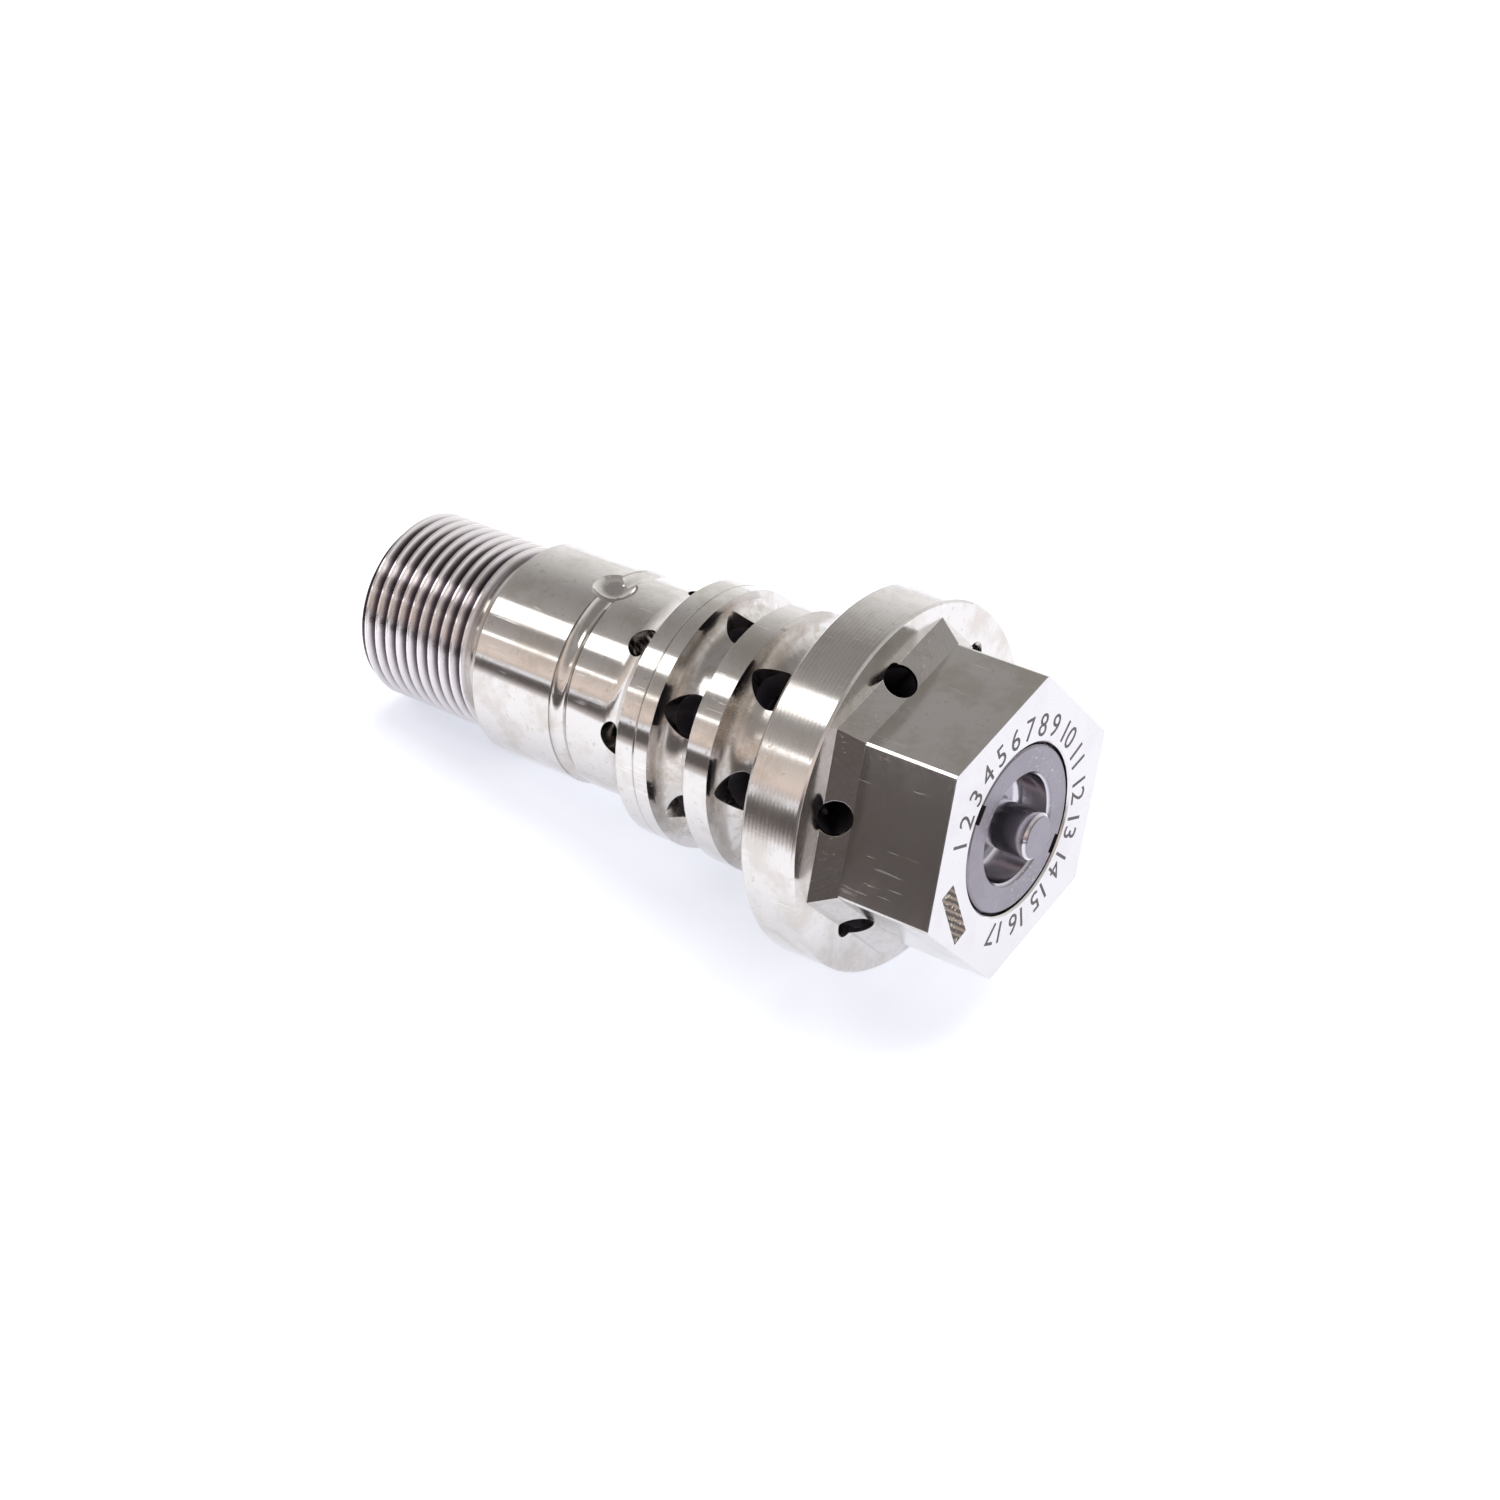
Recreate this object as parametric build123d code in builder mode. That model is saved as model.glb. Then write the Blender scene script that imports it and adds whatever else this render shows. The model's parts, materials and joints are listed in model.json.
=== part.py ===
"""Screw-in cartridge valve: ported body, spool in a sleeve, pilot piston, override stem, check ball.

The valve lies along X with its hexagon head towards +X and its threaded nose towards -X.
The origin is the centre of the flange's seating face. Millimetres, +Z up.
"""

from build123d import *

import os
from math import cos, radians, sin, sqrt

os.makedirs("parts", exist_ok=True)

# Stations along X, from the nose to the head
nose_end = -77.8
thread_start = -76.6
thread_stop = -57.4
relief_start = -56.4
land_one_start = -54.3
land_one_stop = -40.2
neck_middle = -38.8
land_two_start = -37.3
land_two_stop = -30.6
ring_a_start = -26.0
ring_a_line = -23.1
ring_a_stop = -20.8
ring_b_start = -14.6
ring_b_stop = -10.8
flange_thickness = 8.7
facet_length = 3.1
head_front = 25.5

# Outside radii and sizes
thread_r = 13.5
thread_pitch = 2.0
thread_depth = 1.2
thread_lead_in = 1.5
thread_run_out = 0.53
relief_r = 12.0
land_one_r = 15.4
neck_r = 14.2
land_two_r = 15.1
ring_r = 18.25
groove_one_r = 14.3
groove_two_r = 14.0
flange_r = 25.5
flange_rear_chamfer = 0.7
flange_front_chamfer = 0.3
hex_across_flats = 36.0
hex_corner_r = 20.66
facet_apothem = 20.3
hex_turn = 15.0

# Ports through the body wall
port_r = 3.0
groove_one_port_x = -17.75
groove_two_port_x = -7.7
cross_hole_r = 2.2
cross_hole_x = -29.0
cross_hole_count = 7
cross_hole_turn = 33.6
facet_hole_r = 2.35
facet_hole_offset = 0.4
dimple_x = -39.1
dimple_turn = 7.0
dimple_centre_r = 17.3
dimple_ball_r = 3.8

# Inside of the body
gland_bore_r = 11.75
gland_bore_floor = 13.0
main_bore_r = 9.6
main_bore_floor = -24.5
chamber_r = 9.0
nose_bore_r = 10.6
nose_bore_floor = -62.0

# Fits
slip = 0.05
running = 0.03

# Sleeve and spool
sleeve_front = -0.5
sleeve_bore_r = 6.5
sleeve_port_r = 1.75
sleeve_groove_r = 8.4
seal_floor_r = 8.1
seal_width = 3.0
sleeve_recess_width = 5.2
seal_stations = (-22.6, -13.0, -3.0)
spool_r = sleeve_bore_r - running
spool_neck_r = 4.2

# Pilot end
liner_rear = 6.2
liner_bore_r = 7.5
piston_rear = 9.4
piston_front = 12.8
piston_r = liner_bore_r - running
stem_r = 3.2
stem_front = 28.5
gland_face = 25.35
recess_r = 7.4
recess_floor = 20.0

# Springs and check valve
spring_front = -26.4
spring_rear = -52.0
spring_mean_r = 7.2
wire_r = 0.85
check_seat_x = -67.0
check_seat_r = 1.6
check_ball_r = 2.2
check_bore_r = 2.8
check_spring_front = -57.2
ball_x = check_seat_x + sqrt(check_ball_r**2 - check_seat_r**2)
plug_rear = -74.9
plug_front = spring_rear - 1.8 - 0.64


def around(turn):
    """Unit direction across the axis, turned from +Z towards -Y."""
    return (0, -sin(radians(turn)), cos(radians(turn)))


def radial_plane(x, turn, r):
    """Plane facing outward at radius r, for drilling towards the axis."""
    d = around(turn)
    return Plane(origin=(x, r * d[1], r * d[2]), z_dir=d)


# Helical groove that forms the nose thread
with BuildPart() as thread_groove:
    with BuildLine() as groove_path:
        Helix(
            pitch=thread_pitch,
            height=relief_start + thread_run_out - nose_end + thread_lead_in,
            radius=thread_r,
            center=(nose_end - thread_lead_in, 0, 0),
            direction=(1, 0, 0),
        )
    with BuildSketch(Plane(origin=groove_path.line @ 0, x_dir=(1, 0, 0), z_dir=groove_path.line % 0)):
        with BuildLine():
            Polyline(
                (-0.16, -thread_depth),
                (-0.96, 0.17),
                (0.96, 0.17),
                (0.16, -thread_depth),
                close=True,
            )
        make_face()
    sweep(is_frenet=True)

# Body: one turned and milled piece
with BuildPart() as valve_body:
    with BuildSketch(Plane.XY):
        with BuildLine():
            Polyline(
                (head_front, 0),
                (nose_end, 0),
                (nose_end, thread_r - 1.45),
                (thread_start, thread_r),
                (thread_stop, thread_r),
                (relief_start, relief_r),
                (land_one_start, relief_r),
                (land_one_start, land_one_r - 0.5),
                (land_one_start + 0.5, land_one_r),
                (land_one_stop, land_one_r),
                (land_one_stop, land_one_r - 0.3),
            )
            ThreePointArc(
                (land_one_stop, land_one_r - 0.3),
                (neck_middle, neck_r),
                (land_two_start, land_two_r),
            )
            Line((land_two_start, land_two_r), (land_two_stop, land_two_r))
            TangentArc((land_two_stop, land_two_r), (ring_a_start, ring_r), tangent=(1, 0))
            Polyline(
                (ring_a_start, ring_r),
                (ring_a_line - 0.15, ring_r),
                (ring_a_line, ring_r - 0.25),
                (ring_a_line + 0.15, ring_r),
                (ring_a_stop, ring_r),
                (ring_a_stop, groove_one_r + 2.8),
            )
            TangentArc(
                (ring_a_stop, groove_one_r + 2.8),
                (ring_a_stop + 2.8, groove_one_r),
                tangent=(0, -1),
            )
            Line((ring_a_stop + 2.8, groove_one_r), (ring_b_start - 2.0, groove_one_r))
            TangentArc(
                (ring_b_start - 2.0, groove_one_r),
                (ring_b_start, groove_one_r + 2.0),
                tangent=(1, 0),
            )
            Polyline(
                (ring_b_start, groove_one_r + 2.0),
                (ring_b_start, ring_r),
                (ring_b_stop, ring_r),
                (ring_b_stop, groove_two_r + 3.4),
            )
            TangentArc(
                (ring_b_stop, groove_two_r + 3.4),
                (ring_b_stop + 3.4, groove_two_r),
                tangent=(0, -1),
            )
            Line((ring_b_stop + 3.4, groove_two_r), (-2.5, groove_two_r))
            TangentArc((-2.5, groove_two_r), (0, groove_two_r + 2.5), tangent=(1, 0))
            Polyline(
                (0, groove_two_r + 2.5),
                (0, flange_r - flange_rear_chamfer),
                (flange_rear_chamfer, flange_r),
                (flange_thickness - flange_front_chamfer, flange_r),
                (flange_thickness, flange_r - flange_front_chamfer),
                (flange_thickness, 12.5),
                (head_front, 12.5),
                (head_front, 0),
            )
        make_face()
    revolve(axis=Axis.X)
    with BuildSketch(Plane.YZ.offset(flange_thickness - 0.01)):
        RegularPolygon(radius=facet_apothem, side_count=6, major_radius=False, rotation=hex_turn)
    with BuildSketch(Plane.YZ.offset(flange_thickness + facet_length)):
        RegularPolygon(
            radius=hex_across_flats / 2, side_count=6, major_radius=False, rotation=hex_turn
        )
    loft()
    with BuildSketch(Plane.YZ.offset(flange_thickness + facet_length)):
        RegularPolygon(
            radius=hex_across_flats / 2, side_count=6, major_radius=False, rotation=hex_turn
        )
        Circle(hex_corner_r, mode=Mode.INTERSECT)
    extrude(amount=head_front - flange_thickness - facet_length)
    with BuildSketch(Plane.XY):
        with BuildLine():
            Polyline(
                (head_front + 1, 0),
                (head_front + 1, gland_bore_r + 0.25),
                (head_front, gland_bore_r + 0.25),
                (head_front - 0.25, gland_bore_r),
                (gland_bore_floor, gland_bore_r),
                (gland_bore_floor, main_bore_r),
                (main_bore_floor, main_bore_r),
                (main_bore_floor, chamber_r),
                (nose_bore_floor, chamber_r),
                (nose_bore_floor, nose_bore_r),
                (nose_end + 2.9, nose_bore_r),
                (nose_end + 2.9, nose_bore_r + 0.6),
                (nose_end + 1.7, nose_bore_r + 0.6),
                (nose_end + 1.7, nose_bore_r),
                (nose_end + 0.4, nose_bore_r),
                (nose_end - 1, nose_bore_r + 1.4),
                (nose_end - 1, 0),
                close=True,
            )
        make_face()
    revolve(axis=Axis.X, mode=Mode.SUBTRACT)
    for step in range(6):
        with BuildSketch(radial_plane(groove_one_port_x, 60 * step, 6)):
            Circle(port_r)
        extrude(amount=12.5, mode=Mode.SUBTRACT)
        with BuildSketch(radial_plane(groove_two_port_x, 60 * step + 30, 6)):
            Circle(port_r)
        extrude(amount=12.5, mode=Mode.SUBTRACT)
    for step in range(cross_hole_count):
        turn = cross_hole_turn + step * 360 / cross_hole_count
        with BuildSketch(radial_plane(cross_hole_x, turn, 6)):
            Circle(cross_hole_r)
        extrude(amount=13, mode=Mode.SUBTRACT)
    facet_drop = facet_apothem - hex_across_flats / 2
    facet_slant = sqrt(facet_length**2 + facet_drop**2)
    facet_middle_x = flange_thickness + facet_length / 2
    facet_middle_r = (facet_apothem + hex_across_flats / 2) / 2 + facet_hole_offset
    for step in range(6):
        d = around(60 * step + hex_turn)
        facet_plane = Plane(
            origin=(facet_middle_x, facet_middle_r * d[1], facet_middle_r * d[2]),
            z_dir=(
                facet_drop / facet_slant,
                d[1] * facet_length / facet_slant,
                d[2] * facet_length / facet_slant,
            ),
        )
        with BuildSketch(facet_plane.offset(-13.8)):
            Circle(facet_hole_r)
        extrude(amount=16, mode=Mode.SUBTRACT)
    with Locations(radial_plane(dimple_x, dimple_turn, dimple_centre_r).location):
        Sphere(dimple_ball_r, mode=Mode.SUBTRACT)
    add(thread_groove.part, mode=Mode.SUBTRACT)
valve_body.part.label = "valve_body"
export_step(valve_body.part, "parts/valve_body.step")

# Sleeve with its ports and seal grooves
with BuildPart() as sleeve:
    with BuildSketch(Plane.XY):
        with BuildLine():
            Polyline(
                (main_bore_floor, sleeve_bore_r),
                (main_bore_floor, main_bore_r - slip),
                (sleeve_front, main_bore_r - slip),
                (sleeve_front, sleeve_bore_r),
                close=True,
            )
        make_face()
        for x in seal_stations:
            with Locations((x, seal_floor_r + 2)):
                Rectangle(seal_width, 4, mode=Mode.SUBTRACT)
        for x in (groove_one_port_x, groove_two_port_x):
            with Locations((x, sleeve_groove_r + 2)):
                Rectangle(sleeve_recess_width, 4, mode=Mode.SUBTRACT)
    revolve(axis=Axis.X)
    for step in range(6):
        with BuildSketch(radial_plane(groove_one_port_x, 60 * step, 5)):
            Circle(sleeve_port_r)
        extrude(amount=6, mode=Mode.SUBTRACT)
        with BuildSketch(radial_plane(groove_two_port_x, 60 * step + 30, 5)):
            Circle(sleeve_port_r)
        extrude(amount=6, mode=Mode.SUBTRACT)
sleeve.part.label = "sleeve"
export_step(sleeve.part, "parts/sleeve.step")

# Three O-rings round the sleeve
with BuildPart() as sleeve_orings:
    with BuildSketch(Plane.XY):
        for x in seal_stations:
            with Locations((x - 0.6, seal_floor_r + 0.74)):
                Circle(0.73)
    revolve(axis=Axis.X)
sleeve_orings.part.label = "sleeve_orings"
export_step(sleeve_orings.part, "parts/sleeve_orings.step")

# Backup ring beside each O-ring
with BuildPart() as sleeve_backups:
    with BuildSketch(Plane.XY):
        for x in seal_stations:
            with Locations((x + 0.9, seal_floor_r + 0.75)):
                Rectangle(1.1, 1.46)
    revolve(axis=Axis.X)
sleeve_backups.part.label = "sleeve_backups"
export_step(sleeve_backups.part, "parts/sleeve_backups.step")

# Spool: two lands joined by a neck, spigot at the rear
with BuildPart() as spool:
    with BuildSketch(Plane.XY):
        with BuildLine():
            Polyline(
                (-29.0, 0),
                (-29.0, 2.6),
                (-28.6, 3.0),
                (main_bore_floor - 0.05, 3.0),
                (main_bore_floor - 0.05, spool_r),
                (-15.0, spool_r),
                (-15.0, 5.4),
                (-13.8, spool_neck_r),
                (-0.9, spool_neck_r),
                (0.3, 5.4),
                (0.3, spool_r),
                (3.3, spool_r),
                (3.3, 3.5),
                (6.4, 3.5),
                (6.4, 2.5),
                (piston_rear, 2.5),
                (piston_rear, 0),
                close=True,
            )
        make_face()
        for x in (-22.6, -21.0):
            with Locations((x, spool_r)):
                Rectangle(0.5, 0.6, mode=Mode.SUBTRACT)
    revolve(axis=Axis.X)
    for step in range(4):
        with BuildSketch(radial_plane(-15.0, 90 * step, spool_r - 0.9)):
            Circle(0.7)
        extrude(amount=2, mode=Mode.SUBTRACT)
spool.part.label = "spool"
export_step(spool.part, "parts/spool.step")

# Slotted cage that spaces the sleeve from the pilot liner
with BuildPart() as vent_cage:
    with BuildSketch(Plane.XY):
        with BuildLine():
            Polyline(
                (sleeve_front, 8.0),
                (sleeve_front, main_bore_r - slip),
                (liner_rear, main_bore_r - slip),
                (liner_rear, 8.0),
                close=True,
            )
        make_face()
    revolve(axis=Axis.X)
    for step in range(6):
        with BuildSketch(radial_plane(2.9, 60 * step + hex_turn, 7)):
            SlotOverall(5.0, 4.2)
        extrude(amount=4, mode=Mode.SUBTRACT)
vent_cage.part.label = "vent_cage"
export_step(vent_cage.part, "parts/vent_cage.step")

# Liner the pilot piston runs in
with BuildPart() as pilot_liner:
    with BuildSketch(Plane.XY):
        with BuildLine():
            Polyline(
                (liner_rear, liner_bore_r),
                (liner_rear, main_bore_r - slip),
                (gland_bore_floor, main_bore_r - slip),
                (gland_bore_floor, liner_bore_r),
                close=True,
            )
        make_face()
        with Locations((9.6, seal_floor_r + 2.3)):
            Rectangle(1.9, 4, mode=Mode.SUBTRACT)
    revolve(axis=Axis.X)
pilot_liner.part.label = "pilot_liner"
export_step(pilot_liner.part, "parts/pilot_liner.step")

# Static seal round the liner
with BuildPart() as liner_oring:
    with BuildSketch(Plane.XY):
        with Locations((9.6, 8.99)):
            Circle(0.58)
    revolve(axis=Axis.X)
liner_oring.part.label = "liner_oring"
export_step(liner_oring.part, "parts/liner_oring.step")

# Pilot piston with its seal groove
with BuildPart() as pilot_piston:
    with BuildSketch(Plane.XY):
        with BuildLine():
            Polyline(
                (piston_rear, 0),
                (piston_rear, piston_r - 0.3),
                (piston_rear + 0.3, piston_r),
                (piston_front - 0.3, piston_r),
                (piston_front, piston_r - 0.3),
                (piston_front, 0),
                close=True,
            )
        make_face()
        with Locations((11.1, piston_r + 0.7)):
            Rectangle(1.7, 3.8, mode=Mode.SUBTRACT)
    revolve(axis=Axis.X)
pilot_piston.part.label = "pilot_piston"
export_step(pilot_piston.part, "parts/pilot_piston.step")

# Piston seal
with BuildPart() as piston_oring:
    with BuildSketch(Plane.XY):
        with Locations((11.1, piston_r - 0.6)):
            Circle(0.6)
    revolve(axis=Axis.X)
piston_oring.part.label = "piston_oring"
export_step(piston_oring.part, "parts/piston_oring.step")

# Override stem with the collar that keeps it in the gland
with BuildPart() as override_stem:
    with BuildSketch(Plane.XY):
        with BuildLine():
            Polyline(
                (piston_front, 0),
                (piston_front, 4.4),
                (14.8, 4.4),
                (14.8, stem_r),
                (stem_front - 0.45, stem_r),
                (stem_front, stem_r - 0.45),
                (stem_front, 0),
                close=True,
            )
        make_face()
    revolve(axis=Axis.X)
override_stem.part.label = "override_stem"
export_step(override_stem.part, "parts/override_stem.step")

# Gland nut: dished face, stem bore, seal grooves, two spanner notches
with BuildPart() as gland_nut:
    with BuildSketch(Plane.XY):
        with BuildLine():
            Polyline(
                (gland_bore_floor, 4.9),
                (gland_bore_floor, gland_bore_r - slip),
                (24.0, gland_bore_r - slip),
                (24.3, 11.4),
                (gland_face - 0.25, 11.4),
                (gland_face, 11.15),
                (gland_face, recess_r + 0.45),
                (gland_face - 0.45, recess_r),
                (recess_floor + 1.2, recess_r),
            )
            TangentArc(
                (recess_floor + 1.2, recess_r),
                (recess_floor, recess_r - 1.2),
                tangent=(-1, 0),
            )
            Polyline(
                (recess_floor, recess_r - 1.2),
                (recess_floor, stem_r + running),
                (15.0, stem_r + running),
                (15.0, 4.9),
                (gland_bore_floor, 4.9),
            )
        make_face()
        with Locations((14.9, 12.2)):
            Rectangle(2.6, 3.6, mode=Mode.SUBTRACT)
        with Locations((16.9, 3.3)):
            Rectangle(2.3, 2.8, mode=Mode.SUBTRACT)
        with Locations((19.0, 3.3)):
            Rectangle(0.9, 2.0, mode=Mode.SUBTRACT)
    revolve(axis=Axis.X)
    for turn in (54, 234):
        d = around(turn)
        with Locations(Location((gland_face - 0.6, 11.2 * d[1], 11.2 * d[2]), (turn, 0, 0))):
            Box(1.8, 2.6, 1.6, mode=Mode.SUBTRACT)
gland_nut.part.label = "gland_nut"
export_step(gland_nut.part, "parts/gland_nut.step")

# Seal and backup ring round the gland nut
with BuildPart() as gland_oring:
    with BuildSketch(Plane.XY):
        with Locations((14.45, gland_bore_r - 0.68)):
            Circle(0.67)
    revolve(axis=Axis.X)
gland_oring.part.label = "gland_oring"
export_step(gland_oring.part, "parts/gland_oring.step")

with BuildPart() as gland_backup:
    with BuildSketch(Plane.XY):
        with Locations((15.7, gland_bore_r - 0.68)):
            Rectangle(0.9, 1.3)
    revolve(axis=Axis.X)
gland_backup.part.label = "gland_backup"
export_step(gland_backup.part, "parts/gland_backup.step")

# Seal, backup ring and wiper round the stem
with BuildPart() as stem_oring:
    with BuildSketch(Plane.XY):
        with Locations((16.45, stem_r + running + 0.7)):
            Circle(0.7)
    revolve(axis=Axis.X)
stem_oring.part.label = "stem_oring"
export_step(stem_oring.part, "parts/stem_oring.step")

with BuildPart() as stem_backup:
    with BuildSketch(Plane.XY):
        with Locations((17.65, stem_r + running + 0.72)):
            Rectangle(0.75, 1.42)
    revolve(axis=Axis.X)
stem_backup.part.label = "stem_backup"
export_step(stem_backup.part, "parts/stem_backup.step")

with BuildPart() as stem_wiper:
    with BuildSketch(Plane.XY):
        with Locations((19.0, stem_r + running + 0.53)):
            Rectangle(0.86, 1.04)
    revolve(axis=Axis.X)
stem_wiper.part.label = "stem_wiper"
export_step(stem_wiper.part, "parts/stem_wiper.step")

# Guide washer between the spool and the return spring
with BuildPart() as spring_guide:
    with BuildSketch(Plane.XY):
        with BuildLine():
            Polyline(
                (spring_front, 3.05),
                (spring_front, 8.6),
                (main_bore_floor - 0.05, 8.6),
                (main_bore_floor - 0.05, 3.05),
                close=True,
            )
        make_face()
        with Locations((spring_front - 0.75, 4.9)):
            Rectangle(1.5, 2.6)
    revolve(axis=Axis.X)
    for step in range(4):
        with BuildSketch(radial_plane(spring_front + 0.925, 90 * step + 45, 6.4)):
            Rectangle(4.0, 1.6)
        extrude(amount=4, mode=Mode.SUBTRACT)
spring_guide.part.label = "spring_guide"
export_step(spring_guide.part, "parts/spring_guide.step")

# Return spring
with BuildPart() as return_spring:
    with BuildLine() as spring_path:
        Helix(
            pitch=3.2,
            height=spring_front - spring_rear - 2 * wire_r,
            radius=spring_mean_r,
            center=(spring_rear + wire_r, 0, 0),
            direction=(1, 0, 0),
        )
    with BuildSketch(Plane(origin=spring_path.line @ 0, z_dir=spring_path.line % 0)):
        Circle(wire_r)
    sweep(is_frenet=True)
return_spring.part.label = "return_spring"
export_step(return_spring.part, "parts/return_spring.step")

# Rear seat of the return spring, with a locating boss
with BuildPart() as spring_seat:
    with BuildSketch(Plane.XY):
        with BuildLine():
            Polyline(
                (spring_rear - 1.8, 2.6),
                (spring_rear - 1.8, 8.85),
                (spring_rear, 8.85),
                (spring_rear, 6.0),
                (spring_rear + 2.2, 5.6),
                (spring_rear + 2.2, 2.6),
                close=True,
            )
        make_face()
    revolve(axis=Axis.X)
spring_seat.part.label = "spring_seat"
export_step(spring_seat.part, "parts/spring_seat.step")

# Shims that set the spring's preload
with BuildPart() as preload_shims:
    with BuildSketch(Plane.XY):
        for step in range(3):
            with Locations((spring_rear - 1.8 - 0.1 - 0.22 * step, 5.9)):
                Rectangle(0.2, 5.4)
    revolve(axis=Axis.X)
preload_shims.part.label = "preload_shims"
export_step(preload_shims.part, "parts/preload_shims.step")

# Nose plug: shoulder, seal groove, hexagon socket and the check valve's bores
with BuildPart() as nose_plug:
    with BuildSketch(Plane.XY):
        with BuildLine():
            Polyline(
                (plug_rear, check_seat_r),
                (plug_rear, nose_bore_r - slip),
                (nose_bore_floor, nose_bore_r - slip),
                (nose_bore_floor, chamber_r - slip),
                (plug_front, chamber_r - slip),
                (plug_front, 4.2),
                (check_spring_front, 4.2),
                (check_spring_front, check_bore_r),
                (check_seat_x, check_bore_r),
                (check_seat_x, check_seat_r),
                close=True,
            )
        make_face()
        with Locations((-59.3, 7.6 + 2)):
            Rectangle(2.6, 4, mode=Mode.SUBTRACT)
    revolve(axis=Axis.X)
    with BuildSketch(Plane.YZ.offset(plug_rear)):
        RegularPolygon(radius=5.0, side_count=6, major_radius=False)
    extrude(amount=5.2, mode=Mode.SUBTRACT)
nose_plug.part.label = "nose_plug"
export_step(nose_plug.part, "parts/nose_plug.step")

# Seal and backup ring round the nose plug
with BuildPart() as plug_oring:
    with BuildSketch(Plane.XY):
        with Locations((-59.75, chamber_r - 0.7)):
            Circle(0.69)
    revolve(axis=Axis.X)
plug_oring.part.label = "plug_oring"
export_step(plug_oring.part, "parts/plug_oring.step")

with BuildPart() as plug_backup:
    with BuildSketch(Plane.XY):
        with Locations((-58.5, chamber_r - 0.7)):
            Rectangle(0.9, 1.36)
    revolve(axis=Axis.X)
plug_backup.part.label = "plug_backup"
export_step(plug_backup.part, "parts/plug_backup.step")

# Retaining ring that locks the nose plug
with BuildPart() as retaining_ring:
    with BuildSketch(Plane.YZ.offset(plug_rear - 1.15)):
        Circle(nose_bore_r + 0.55)
        Circle(nose_bore_r - 1.3, mode=Mode.SUBTRACT)
        with Locations((0, nose_bore_r)):
            Rectangle(5.0, 4.0, mode=Mode.SUBTRACT)
        for side in (-1, 1):
            with Locations((side * 3.9, nose_bore_r - 2.1)):
                Circle(1.4)
                Circle(0.6, mode=Mode.SUBTRACT)
    extrude(amount=1.1)
retaining_ring.part.label = "retaining_ring"
export_step(retaining_ring.part, "parts/retaining_ring.step")

# Check ball on its seat, its spring, and the drilled disc behind the spring
with BuildPart() as check_ball:
    with Locations((ball_x, 0, 0)):
        Sphere(check_ball_r)
check_ball.part.label = "check_ball"
export_step(check_ball.part, "parts/check_ball.step")

with BuildPart() as check_spring:
    with BuildLine() as check_path:
        Helix(
            pitch=1.15,
            height=check_spring_front - ball_x - 2.0,
            radius=1.75,
            center=(ball_x + 1.75, 0, 0),
            direction=(1, 0, 0),
        )
    with BuildSketch(Plane(origin=check_path.line @ 0, z_dir=check_path.line % 0)):
        Circle(0.2)
    sweep(is_frenet=True)
check_spring.part.label = "check_spring"
export_step(check_spring.part, "parts/check_spring.step")

with BuildPart() as check_disc:
    with BuildSketch(Plane.YZ.offset(check_spring_front)):
        Circle(4.2 - slip)
        Circle(0.6, mode=Mode.SUBTRACT)
        with PolarLocations(2.6, 6):
            Circle(0.75, mode=Mode.SUBTRACT)
    extrude(amount=1.4)
check_disc.part.label = "check_disc"
export_step(check_disc.part, "parts/check_disc.step")
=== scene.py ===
"""Cartridge valve: steel finishes, face marks, floor, lights and camera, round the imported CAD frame."""

import json
import math

import bmesh
import bpy
from mathutils import Matrix, Vector


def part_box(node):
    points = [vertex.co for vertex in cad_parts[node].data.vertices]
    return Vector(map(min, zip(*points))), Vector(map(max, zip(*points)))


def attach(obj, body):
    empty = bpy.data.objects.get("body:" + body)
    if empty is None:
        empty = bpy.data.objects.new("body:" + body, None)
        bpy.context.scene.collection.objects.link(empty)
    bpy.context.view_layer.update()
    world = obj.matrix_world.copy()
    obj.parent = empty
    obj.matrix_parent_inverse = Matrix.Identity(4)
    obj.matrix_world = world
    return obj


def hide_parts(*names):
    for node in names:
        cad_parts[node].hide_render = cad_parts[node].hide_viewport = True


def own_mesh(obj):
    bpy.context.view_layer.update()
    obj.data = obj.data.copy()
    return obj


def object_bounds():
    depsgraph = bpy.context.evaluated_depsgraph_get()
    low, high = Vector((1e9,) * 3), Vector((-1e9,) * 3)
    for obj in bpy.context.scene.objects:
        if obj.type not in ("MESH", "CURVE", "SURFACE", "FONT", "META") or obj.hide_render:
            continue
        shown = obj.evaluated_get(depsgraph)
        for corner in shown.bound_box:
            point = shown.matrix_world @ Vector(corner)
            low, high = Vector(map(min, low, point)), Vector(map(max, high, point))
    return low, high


MM = 0.001

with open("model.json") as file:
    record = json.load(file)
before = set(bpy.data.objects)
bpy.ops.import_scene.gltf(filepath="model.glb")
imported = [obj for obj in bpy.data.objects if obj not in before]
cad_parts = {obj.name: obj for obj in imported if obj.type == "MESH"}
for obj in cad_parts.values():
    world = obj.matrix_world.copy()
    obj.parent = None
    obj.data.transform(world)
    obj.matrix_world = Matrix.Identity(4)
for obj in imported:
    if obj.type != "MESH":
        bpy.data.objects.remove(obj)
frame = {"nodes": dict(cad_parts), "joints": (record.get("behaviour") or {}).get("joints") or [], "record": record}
cad_low, cad_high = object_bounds()
middle = (cad_low + cad_high) / 2

body_low, body_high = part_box("valve_body")
head_face_x = body_high.x
stem_end_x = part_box("override_stem")[1].x
flange_radius = body_high.z
nose_end_x = body_low.x
thread_start_x = -57.4 * MM
crest_radius = 13.5 * MM
grooves_start_x = -20.8 * MM
port_mouth_radius = 13.9 * MM
flange_front_x = 8.7 * MM
foot_end_x = 11.8 * MM
dish_radius = 7.6 * MM
edge_round = 0.10 * MM
square = ((-1, -1), (1, -1), (1, 1), (-1, 1))


# ---------------------------------------------------------------- node helpers


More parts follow.
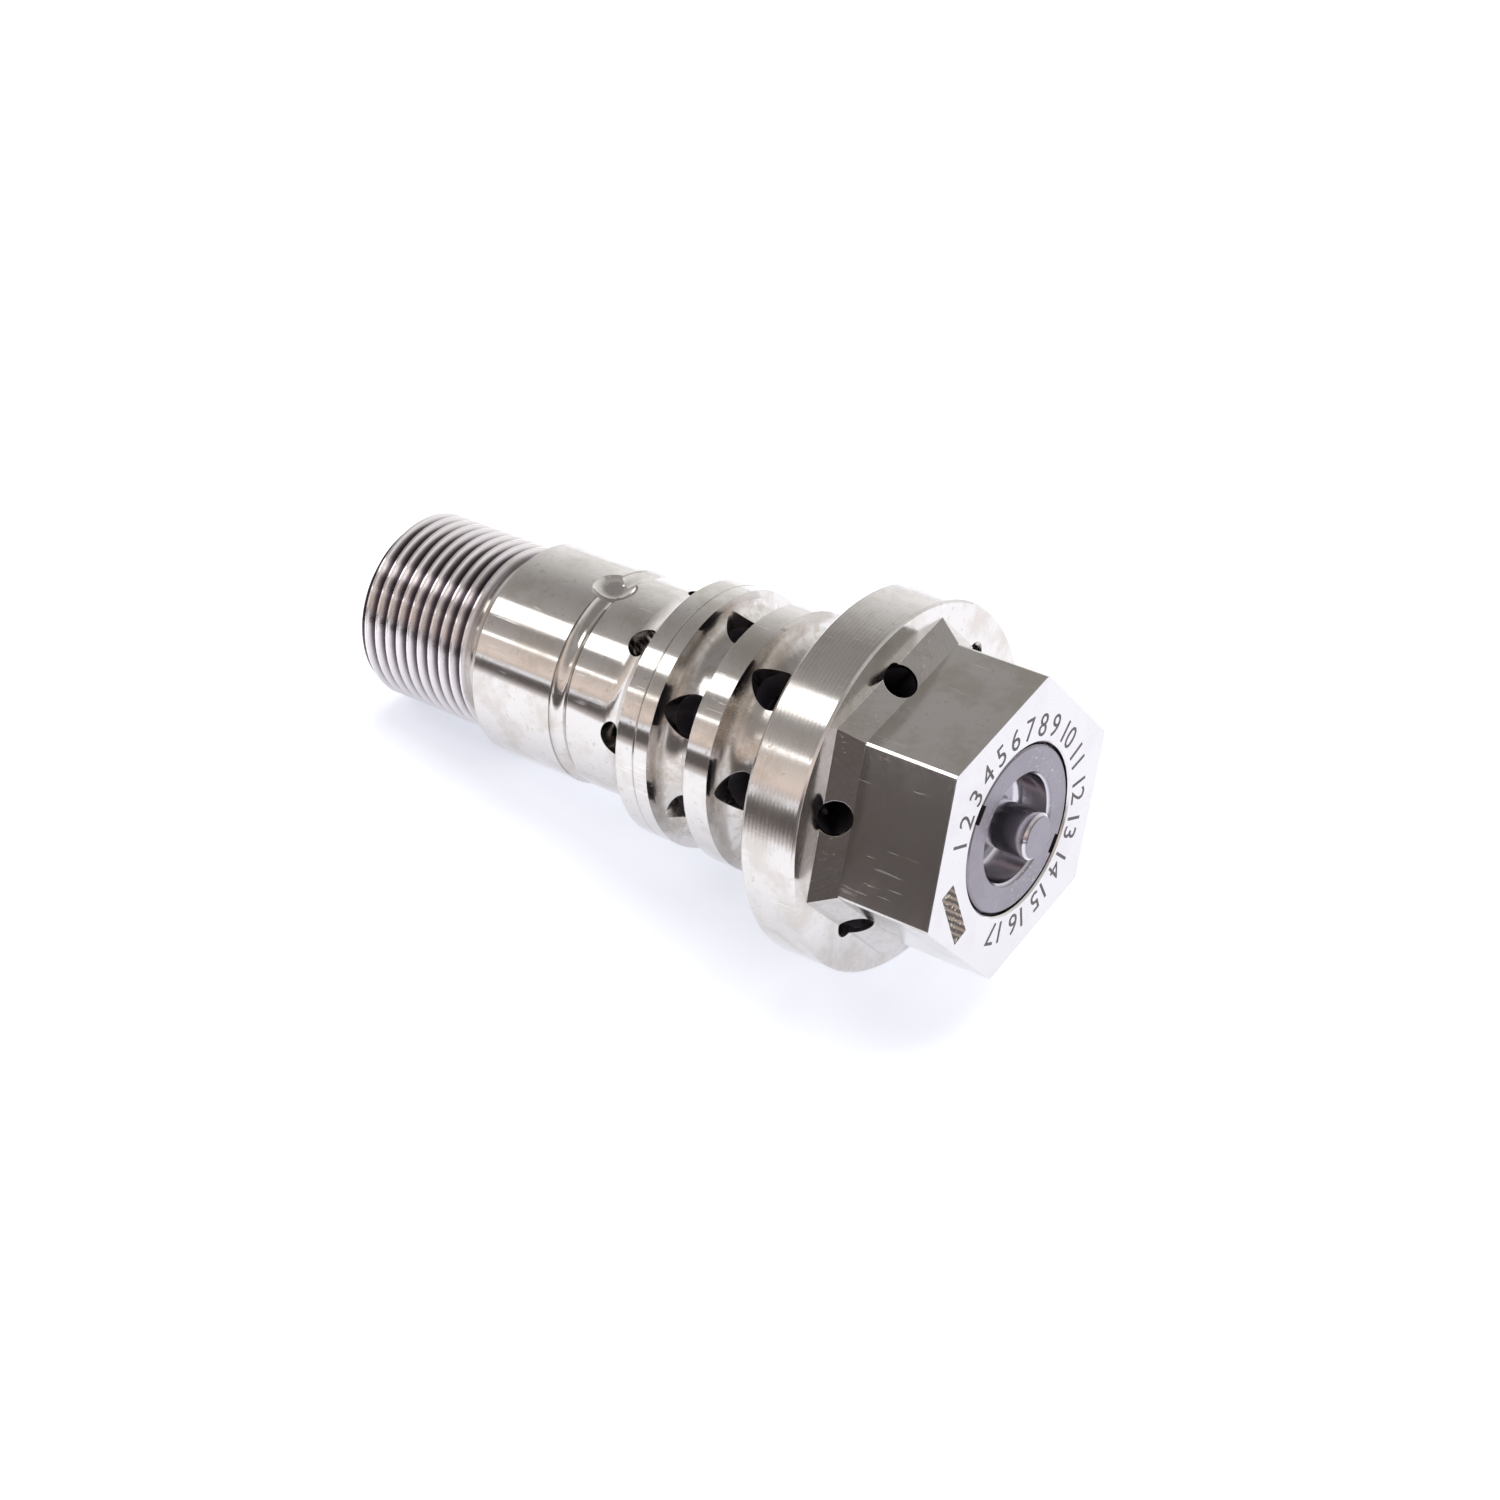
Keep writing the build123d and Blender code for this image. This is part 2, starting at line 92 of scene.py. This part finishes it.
class Tree:
    """Short calls for one node tree. Inputs may be numbers, tuples or another node's output."""

    def __init__(self, tree):
        self.nodes = tree.nodes
        self.links = tree.links

    def put(self, socket, value):
        if isinstance(value, bpy.types.NodeSocket):
            self.links.new(value, socket)
        else:
            socket.default_value = value

    def add(self, kind, inputs=None, **settings):
        node = self.nodes.new(kind)
        for name, value in settings.items():
            setattr(node, name, value)
        for key, value in (inputs or {}).items():
            self.put(node.inputs[key], value)
        return node

    def math(self, operation, a, b=0.0, c=0.0, clamp=False):
        node = self.add("ShaderNodeMath", {0: a, 1: b, 2: c}, operation=operation, use_clamp=clamp)
        return node.outputs[0]

    def step(self, value, low, high, to_low=0.0, to_high=1.0):
        node = self.add(
            "ShaderNodeMapRange",
            {"Value": value, "From Min": low, "From Max": high, "To Min": to_low, "To Max": to_high},
            interpolation_type="SMOOTHSTEP",
        )
        return node.outputs["Result"]

    def band(self, value, low, high, soft):
        up = self.step(value, low - soft, low + soft)
        down = self.step(value, high - soft, high + soft, 1.0, 0.0)
        return self.math("MULTIPLY", up, down)

    def noise(self, vector, scale, detail=3.0, roughness=0.55, dimensions="3D"):
        if dimensions == "1D":
            inputs = {"W": vector}
        else:
            inputs = {"Vector": vector}
        node = self.add("ShaderNodeTexNoise", inputs, noise_dimensions=dimensions)
        node.inputs["Scale"].default_value = scale
        node.inputs["Detail"].default_value = detail
        node.inputs["Roughness"].default_value = roughness
        return node.outputs["Fac"]

    def mix(self, factor, a, b):
        node = self.add("ShaderNodeMix", data_type="RGBA")
        self.put(node.inputs["Factor"], factor)
        self.put(node.inputs[6], a)
        self.put(node.inputs[7], b)
        return node.outputs[2]

    def tint(self, colour, factor):
        """Scales a colour by a single number."""
        node = self.add("ShaderNodeVectorMath", {0: colour, "Scale": factor}, operation="SCALE")
        return node.outputs["Vector"]

    def ramp(self, value, stops):
        node = self.add("ShaderNodeValToRGB", {"Fac": value})
        ramp = node.color_ramp
        while len(ramp.elements) < len(stops):
            ramp.elements.new(0.5)
        for element, (place, colour) in zip(ramp.elements, stops):
            element.position = place
            element.color = (*colour, 1.0)
        return node.outputs["Color"]


# ---------------------------------------------------------------- materials


class Finish(Tree):
    """A new material with the valve's own coordinates: along its axis and out from it."""

    def __init__(self, name):
        self.material = bpy.data.materials.new(name)
        self.material.use_nodes = True
        super().__init__(self.material.node_tree)
        self.shader = self.nodes["Principled BSDF"]
        self.place = self.add("ShaderNodeTexCoord").outputs["Object"]
        self.x, y, z = self.add("ShaderNodeSeparateXYZ", {0: self.place}).outputs
        flat = self.add("ShaderNodeCombineXYZ", {"Y": y, "Z": z}).outputs[0]
        self.radius = self.add("ShaderNodeVectorMath", {0: flat}, operation="LENGTH").outputs["Value"]
        self.along = self.math("ADD", self.x, self.radius)

    def scratches(self, turn):
        """Fine straight marks in one direction, broken up by a slow cloud."""
        mapping = self.add("ShaderNodeMapping", {"Vector": self.place, "Scale": (120, 1500, 2600)})
        mapping.inputs["Rotation"].default_value = turn
        lines = self.step(self.noise(mapping.outputs[0], 1.0, 2.0, 0.5), 0.665, 0.70)
        patches = self.step(self.noise(self.place, 130.0, 2.0), 0.5, 0.62)
        return self.math("MULTIPLY", lines, patches)

    def wire_up(self, colour, roughness, height, depth, rounding=0.0):
        """Connects colour, roughness and a bump of that depth; rounding softens the sharp edges."""
        self.put(self.shader.inputs["Base Color"], colour)
        self.put(self.shader.inputs["Roughness"], roughness)
        bump = self.add("ShaderNodeBump", {"Height": height})
        bump.inputs["Distance"].default_value = depth
        if rounding:
            bevel = self.add("ShaderNodeBevel", samples=4)
            bevel.inputs["Radius"].default_value = rounding
            self.put(bump.inputs["Normal"], bevel.outputs[0])
        self.put(self.shader.inputs["Normal"], bump.outputs[0])


def steel(name, colour, roughness, marks=1.0, stain=0.5, anisotropy=0.55, rounding=0.0, zones=None):
    """Turned steel: fine marks round the X axis, smudges, light brown stains and scratches."""
    t = Finish(name)
    fine = t.noise(t.along, 9000.0, 2.0, 0.6, "1D")
    coarse = t.noise(t.along, 1500.0, 2.0, 0.6, "1D")
    smudge = t.step(t.noise(t.place, 150.0, 5.0, 0.65), 0.44, 0.66)
    specks = t.step(t.noise(t.place, 1100.0, 3.0, 0.65), 0.60, 0.68)
    scratch = t.math("MAXIMUM", t.scratches((0.3, 0.2, 0.7)), t.scratches((1.1, -0.6, -0.3)))
    dirt = t.math("MULTIPLY", t.math("MAXIMUM", smudge, specks), stain, clamp=True)

    worn = (0.76 * colour[0], 0.72 * colour[1], 0.66 * colour[2], 1.0)
    tone = t.mix(dirt, (*colour, 1.0), worn)
    grain = t.math("MULTIPLY_ADD", fine, 0.16, 0.90)
    tone = t.tint(tone, grain)
    tone = t.mix(t.math("MULTIPLY", scratch, 0.35), tone, (0.95, 0.94, 0.93, 1.0))
    rough = t.math("MULTIPLY_ADD", dirt, 0.10, roughness - 0.02)
    rough = t.math("MULTIPLY_ADD", coarse, 0.05, rough)
    rough = t.math("MULTIPLY_ADD", scratch, 0.12, rough)
    height = t.math("MULTIPLY_ADD", coarse, 1.4, fine)
    height = t.math("MULTIPLY_ADD", scratch, -1.5, height)
    if zones:
        tone, rough, height = zones(t, tone, rough, height)
    t.shader.inputs["Metallic"].default_value = 1.0
    t.shader.inputs["Anisotropic"].default_value = anisotropy
    t.shader.inputs["Anisotropic Rotation"].default_value = 0.25
    tangent = t.add("ShaderNodeTangent", direction_type="RADIAL", axis="X")
    t.put(t.shader.inputs["Tangent"], tangent.outputs[0])
    t.wire_up(tone, rough, height, 0.0012 * MM * marks, rounding)
    return t.material


def body_zones(t, tone, rough, height):
    """Painted shade in the thread roots, striped flange rim, bright hexagon face, stained grooves, painted shade
    in the drillings.
    """
    thread = t.step(t.x, thread_start_x - 0.2 * MM, thread_start_x + 0.2 * MM, 1.0, 0.0)
    # Painted shade: the thread roots below the crests are coloured dark.
    below_crest = t.step(t.radius, crest_radius - 0.9 * MM, crest_radius - 0.15 * MM, 1.0, 0.0)
    root_shade = t.math("MULTIPLY", thread, below_crest)
    tone = t.mix(thread, tone, (0.80, 0.76, 0.76, 1.0))
    tone = t.mix(root_shade, tone, (0.23, 0.20, 0.22, 1.0))
    rough = t.math("MULTIPLY_ADD", thread, 0.07, rough)

    rim = t.step(t.radius, flange_radius - 0.35 * MM, flange_radius - 0.25 * MM)
    turns = t.math("SINE", t.math("MULTIPLY", t.x, 2 * math.pi / (0.6 * MM)))
    height = t.math("ADD", height, t.math("MULTIPLY", t.math("MULTIPLY", turns, rim), 1.6))
    rough = t.math("MULTIPLY_ADD", rim, 0.04, rough)

    face = t.step(t.x, head_face_x - 0.30 * MM, head_face_x - 0.05 * MM)
    tone = t.mix(t.math("MULTIPLY", face, 0.8), tone, (0.68, 0.665, 0.68, 1.0))
    rough = t.math("MULTIPLY_ADD", face, 0.08, rough)

    between = t.band(t.x, grooves_start_x, 0.0, 0.1 * MM)
    grooves = t.math("MULTIPLY", between, t.step(t.radius, 17.0 * MM, 17.8 * MM, 1.0, 0.0))
    brown = t.math("MULTIPLY", grooves, t.step(t.noise(t.place, 420.0, 4.0, 0.7), 0.45, 0.62))
    tone = t.mix(t.math("MULTIPLY", brown, 0.55), tone, (0.50, 0.44, 0.37, 1.0))
    rough = t.math("MULTIPLY_ADD", grooves, 0.07, rough)
    rough = t.math("MULTIPLY_ADD", brown, 0.06, rough)

    mouth = t.step(t.radius, port_mouth_radius - 0.7 * MM, port_mouth_radius, 1.0, 0.0)
    ports = t.math("MULTIPLY", between, mouth)
    # Just under the surface of the hexagon and of its slanted foot
    foot = t.step(t.x, flange_front_x, foot_end_x, 19.2 * MM, 17.2 * MM)
    slanted = t.step(t.math("SUBTRACT", t.radius, foot), 0.0, 0.5 * MM, 1.0, 0.0)
    slanted = t.math("MULTIPLY", slanted, t.band(t.x, 5.0 * MM, 24.0 * MM, 0.2 * MM))
    # Painted shade: the walls of the ports and of the slanted holes are coloured dark.
    hole_shade = t.math("MAXIMUM", ports, slanted)
    tone = t.mix(hole_shade, tone, (0.17, 0.155, 0.19, 1.0))
    rough = t.math("MULTIPLY_ADD", hole_shade, 0.35, rough)
    return tone, rough, height


def gland_zones(t, tone, rough, height):
    """The dish is brighter and smoother than the satin face round it."""
    dish = t.step(t.radius, dish_radius - 0.15 * MM, dish_radius + 0.2 * MM, 1.0, 0.0)
    tone = t.mix(dish, tone, (0.58, 0.56, 0.60, 1.0))
    rough = t.math("MULTIPLY_ADD", dish, -0.12, rough)
    return tone, rough, height


def stem_zones(t, tone, rough, height):
    """Ground bright along its side, satin on its end."""
    end = t.step(t.x, stem_end_x - 0.25 * MM, stem_end_x - 0.05 * MM)
    tone = t.mix(end, tone, (0.27, 0.25, 0.285, 1.0))
    rough = t.math("MULTIPLY_ADD", end, 0.14, rough)
    return tone, rough, height


def plain(name, colour, roughness):
    """Rubber or plastic with a faint cloud."""
    t = Finish(name)
    cloud = t.noise(t.place, 300.0, 3.0)
    tone = t.mix(cloud, (*[0.75 * c for c in colour], 1.0), (*colour, 1.0))
    t.wire_up(tone, t.math("MULTIPLY_ADD", cloud, 0.12, roughness), cloud, 0.004 * MM)
    return t.material


slot_finish = {
    "body_steel": steel(
        "turned_body", (0.72, 0.695, 0.675), 0.105, stain=0.6, rounding=edge_round, zones=body_zones
    ),
    "gland_steel": steel(
        "turned_gland", (0.27, 0.25, 0.285), 0.27, stain=0.3, rounding=edge_round, zones=gland_zones
    ),
    "stem_steel": steel(
        "ground_stem", (0.66, 0.64, 0.67), 0.10, stain=0.2, rounding=edge_round, zones=stem_zones
    ),
    "spool_steel": steel("ground_spool", (0.72, 0.71, 0.71), 0.12, stain=0.1),
    # Painted shade: the sleeve, seen through the ports, has the dark colour of the shaded hole walls.
    "sleeve_steel": steel("sleeve_painted_shade", (0.17, 0.155, 0.19), 0.40, stain=0.3),
    "plug_steel": steel("turned_plug", (0.58, 0.57, 0.57), 0.20, rounding=edge_round),
    "spring_steel": steel("spring_wire", (0.68, 0.68, 0.70), 0.16, marks=0.3),
    "ball_steel": steel("polished_ball", (0.80, 0.80, 0.81), 0.07, marks=0.2, stain=0.1),
    "seal_rubber": plain("seal_rubber", (0.03, 0.03, 0.03), 0.5),
    "backup_plastic": plain("backup_plastic", (0.80, 0.78, 0.72), 0.45),
}
slot_of = {p["node"]: p["material_slot"] for p in frame["record"]["subparts"]}
for node, thing in frame["nodes"].items():
    thing.data.materials.clear()
    thing.data.materials.append(slot_finish[slot_of[node]])


# ---------------------------------------------------------------- springs


def working_spring(node):
    """Stands in for a rigid CAD spring: a copy of its mesh on the housing, with the CAD spring hidden."""
    thing = bpy.data.objects.new("working_" + node, frame["nodes"][node].data.copy())
    bpy.context.scene.collection.objects.link(thing)
    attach(thing, "housing")
    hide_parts(node)
    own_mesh(thing)


for joint in frame["joints"]:
    for spring in joint.get("deforming_nodes", []):
        working_spring(spring["node"])


# ---------------------------------------------------------------- marks on the hexagon's face


def face_place(turn, radius, lift):
    """Frame on the front face: +Z along the axis, +Y outward at that turn from straight up."""
    out = Vector((0, -math.sin(turn), math.cos(turn)))
    across = out.cross(Vector((1, 0, 0)))
    place = Matrix((across, out, Vector((1, 0, 0)))).transposed().to_4x4()
    place.translation = Vector((head_face_x + lift, 0, 0)) + out * radius
    return place


def mesh_object(name, mesh, material):
    """A piece on the housing made of that mesh and material."""
    mesh.materials.clear()
    mesh.materials.append(material)
    thing = bpy.data.objects.new(name, mesh)
    bpy.context.scene.collection.objects.link(thing)
    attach(thing, "housing")
    return thing


digit_height = 3.2 * MM
ring_radius = 12.6 * MM
ring_first = math.radians(77)
ring_last = math.radians(-207)
numbers = [str(n) for n in range(1, 18)]
letters_wide = sum(len(n) for n in numbers) + 0.6 * (len(numbers) - 1)
letter_turn = (ring_last - ring_first) / letters_wide
digits = bmesh.new()
turn = ring_first
for number in numbers:
    for digit in number:
        curve = bpy.data.curves.new("digit", "FONT")
        curve.body = digit
        curve.size = digit_height / 0.72
        curve.align_x = "CENTER"
        curve.resolution_u = 3
        shape = bpy.data.objects.new("digit", curve)
        outline = bpy.data.meshes.new_from_object(shape)
        outline.transform(face_place(turn + letter_turn / 2, ring_radius, 0.02 * MM))
        digits.from_mesh(outline)
        bpy.data.objects.remove(shape)
        bpy.data.meshes.remove(outline)
        turn += letter_turn
    turn += 0.6 * letter_turn
digit_mesh = bpy.data.meshes.new("face_numbers")
digits.to_mesh(digit_mesh)
digits.free()
# Painted shade: the numbers are flat dark pieces on the face, coloured like the shade in engraved strokes.
t = Finish("engraving_painted_shade")
cloud = t.noise(t.place, 1500.0, 3.0)
t.wire_up(t.mix(cloud, (0.04, 0.035, 0.04, 1), (0.12, 0.10, 0.10, 1)), 0.5, cloud, 0.01 * MM)
mesh_object("face_numbers", digit_mesh, t.material)

patch_length = 9.0 * MM
patch_width = 2.6 * MM
patch_place = face_place(math.radians(111), 15.3 * MM, 0.02 * MM)
patch_mesh = bpy.data.meshes.new("face_patch")
corners = [(sx * patch_length / 2, sy * patch_width / 2, 0) for sx, sy in square]
patch_mesh.from_pydata([patch_place @ Vector(c) for c in corners], [], [(0, 1, 2, 3)])
t = Finish("etched_patch")
across = t.add("ShaderNodeVectorMath", {0: t.place, 1: (0, 0.62, 0.78)}, operation="DOT_PRODUCT")
wobble = t.math("MULTIPLY_ADD", t.noise(t.place, 900.0, 3.0), 0.5 * MM, across.outputs["Value"])
hatch = t.step(t.math("SINE", t.math("MULTIPLY", wobble, 2 * math.pi / (0.8 * MM))), -0.1, 0.5)
# Painted highlights: bright glint specks in the patch's colour.
painted_glints = t.step(t.noise(t.place, 1800.0, 2.0), 0.60, 0.70)
tone = t.mix(hatch, (0.05, 0.036, 0.028, 1), (0.24, 0.18, 0.13, 1))
tone = t.mix(painted_glints, tone, (0.85, 0.80, 0.70, 1))
t.shader.inputs["Metallic"].default_value = 0.6
t.wire_up(tone, 0.35, hatch, 0.03 * MM)
mesh_object("face_patch", patch_mesh, t.material)


# ---------------------------------------------------------------- floor

# The valve lies on its flange rim and the end of its nose, so the floor slopes up towards the nose.
rim_x = 0.6 * MM
nose_foot = Vector((nose_end_x + 1.3 * MM, 0, -13.4 * MM))
rim_foot = Vector((rim_x, 0, -flange_radius))
slope = math.atan2(nose_foot.z - rim_foot.z, rim_foot.x - nose_foot.x)
floor_mesh = bpy.data.meshes.new("floor")
floor_size = 8.0
floor_mesh.from_pydata(
    [(sx * floor_size, sy * floor_size, 0) for sx, sy in square],
    [],
    [(0, 1, 2, 3)],
)
floor = bpy.data.objects.new("floor", floor_mesh)
bpy.context.scene.collection.objects.link(floor)
floor.location = rim_foot - Vector((0, 0, 0.05 * MM))
floor.rotation_euler = (0, slope, 0)
paper = bpy.data.materials.new("white_paper")
paper.use_nodes = True
floor_mesh.materials.append(paper)
t = Tree(paper.node_tree)
shader = t.nodes["Principled BSDF"]
grain = t.noise(t.add("ShaderNodeTexCoord").outputs["Object"], 900.0, 2.0)
t.put(shader.inputs["Base Color"], t.mix(grain, (0.80, 0.80, 0.82, 1), (0.83, 0.83, 0.85, 1)))
shader.inputs["Emission Color"].default_value = (0.84, 0.89, 1.0, 1.0)
shader.inputs["Emission Strength"].default_value = 0.55
shader.inputs["Roughness"].default_value = 0.9
shader.inputs["Specular IOR Level"].default_value = 0.1

# ---------------------------------------------------------------- camera

camera_azimuth = math.radians(37.61)
camera_elevation = math.radians(30.25)
camera_distance = 0.415
aim = middle + Vector((8.85, -2.4, -1.8)) * MM
toward_camera = Vector(
    (
        math.sin(camera_azimuth) * math.cos(camera_elevation),
        -math.cos(camera_azimuth) * math.cos(camera_elevation),
        math.sin(camera_elevation),
    )
)
camera_data = bpy.data.cameras.new("camera")
camera_data.lens = 74.4
camera_data.sensor_width = 36.0
camera_data.clip_start = 0.01
camera = bpy.data.objects.new("camera", camera_data)
bpy.context.scene.collection.objects.link(camera)
camera.location = aim + toward_camera * camera_distance
camera.rotation_mode = "QUATERNION"
camera.rotation_quaternion = toward_camera.to_track_quat("Z", "Y")
bpy.context.scene.camera = camera
bpy.context.scene.view_settings.view_transform = "Standard"

# ---------------------------------------------------------------- world and lights


def sky(degrees):
    """Where that elevation falls on a ramp from straight down to straight up."""
    return 0.5 + 0.5 * math.sin(math.radians(degrees))


world = bpy.data.worlds.new("studio")
bpy.context.scene.world = world
world.use_nodes = True
t = Tree(world.node_tree)
direction = t.add("ShaderNodeTexCoord").outputs["Generated"]
parts = t.add("ShaderNodeSeparateXYZ", {0: direction})
height = t.math("MULTIPLY_ADD", parts.outputs["Z"], 0.5, 0.5)


def grey(value):
    return (value, value, value)


back = t.ramp(
    height,
    [
        (0.0, grey(0.9)),
        (sky(0), grey(1.05)),
        (sky(12), grey(1.08)),
        (sky(27), grey(0.85)),
        (sky(36), (0.70, 0.69, 0.68)),
        (sky(43), (0.56, 0.55, 0.54)),
        (sky(50), (0.41, 0.40, 0.39)),
        (sky(57), (0.31, 0.29, 0.28)),
        (1.0, (0.28, 0.27, 0.27)),
    ],
)
front = t.ramp(
    height,
    [
        (0.0, grey(0.9)),
        (sky(-1), (0.40, 0.37, 0.36)),
        (sky(4), (0.62, 0.52, 0.48)),
        (sky(9), (0.98, 0.84, 0.76)),
        (sky(18), (0.82, 0.73, 0.68)),
        (sky(27), (0.50, 0.47, 0.45)),
        (sky(37), (0.37, 0.35, 0.34)),
        (sky(52), (0.46, 0.44, 0.43)),
        (sky(60), (0.31, 0.29, 0.28)),
        (1.0, (0.28, 0.27, 0.27)),
    ],
)
side = t.step(parts.outputs["Y"], -0.2, 0.2)
# The steel reflects the room; straight past the floor's edge there is only plain white.
straight = t.add("ShaderNodeLightPath").outputs["Is Camera Ray"]
room = t.mix(side, front, back)
t.put(t.nodes["Background"].inputs["Color"], t.mix(straight, room, (1.0, 1.0, 1.0, 1.0)))


def mirrored(turn):
    """Where a mirror on the valve's cylinders, at that turn round the axis, sees from the camera."""
    turn = math.radians(turn)
    normal = Vector((0, -math.sin(turn), math.cos(turn)))
    return 2 * normal.dot(toward_camera) * normal - toward_camera


def area_light(name, toward, short_way, distance, short, long, radiance):
    """A rectangular light facing the valve's middle; its short side runs along short_way."""
    data = bpy.data.lights.new(name, "AREA")
    data.shape = "RECTANGLE"
    data.size = long
    data.size_y = short
    data.energy = radiance * math.pi * short * long
    lamp = bpy.data.objects.new(name, data)
    bpy.context.scene.collection.objects.link(lamp)
    back = Vector(toward).normalized()
    side = Vector(short_way).cross(back).normalized()
    lamp.matrix_world = Matrix((side, back.cross(side), back)).transposed().to_4x4()
    lamp.location = middle + back * distance
    return lamp


# Window pane and a thin second pane below it, as the cylinders' upper front sees them.
area_light("window", mirrored(42), mirrored(46) - mirrored(38), 0.6, 0.140, 0.30, 2.6)
area_light("strip", mirrored(57), mirrored(58) - mirrored(56), 0.6, 0.018, 0.30, 2.6)
overhead = area_light("overhead", (0.1, 0.25, 1.0), (0, 1, 0), 1.2, 1.2, 1.2, 2.3)
overhead.visible_glossy = False


def floor_height(x):
    """Height of the sloping floor at that place along the valve."""
    return rim_foot.z + (rim_foot.x - x) * math.tan(slope)


# Dark things on the table in front, seen only in the steel: one lies on the floor, one stands.
card_near, card_far = -0.078, -0.330
card_left, card_right = -0.34, 0.30
flat_outline = [
    (card_left, card_near),
    (card_right, card_near),
    (card_right, card_far),
    (card_left, card_far),
]
flat_part = [(x, y, floor_height(x) + 0.5 * MM) for x, y in flat_outline]
stand_left, stand_y = -0.10, -0.20
standing_part = [
    (stand_left, stand_y, -0.06),
    (card_right, stand_y, -0.075),
    (card_right, stand_y, 0.012),
    (stand_left, stand_y, 0.004),
]
card_mesh = bpy.data.meshes.new("dark_card")
card_mesh.from_pydata(flat_part + standing_part, [], [(0, 1, 2, 3), (4, 5, 6, 7)])
card = bpy.data.objects.new("dark_card", card_mesh)
bpy.context.scene.collection.objects.link(card)
card.visible_camera = False
card.visible_diffuse = False
card.visible_shadow = False
t = Finish("dark_card")
cloud = t.noise(t.place, 12.0, 2.0)
t.shader.inputs["Base Color"].default_value = (0, 0, 0, 1)
t.shader.inputs["Specular IOR Level"].default_value = 0.0
t.shader.inputs["Emission Strength"].default_value = 1.0
dark = t.mix(cloud, (0.08, 0.07, 0.07, 1), (0.17, 0.15, 0.145, 1))
nearness = t.step(t.add("ShaderNodeSeparateXYZ", {0: t.place}).outputs[1], card_near - 0.035, card_near)
t.put(t.shader.inputs["Emission Color"], t.mix(nearness, dark, (0.72, 0.66, 0.66, 1)))
card_mesh.materials.append(t.material)
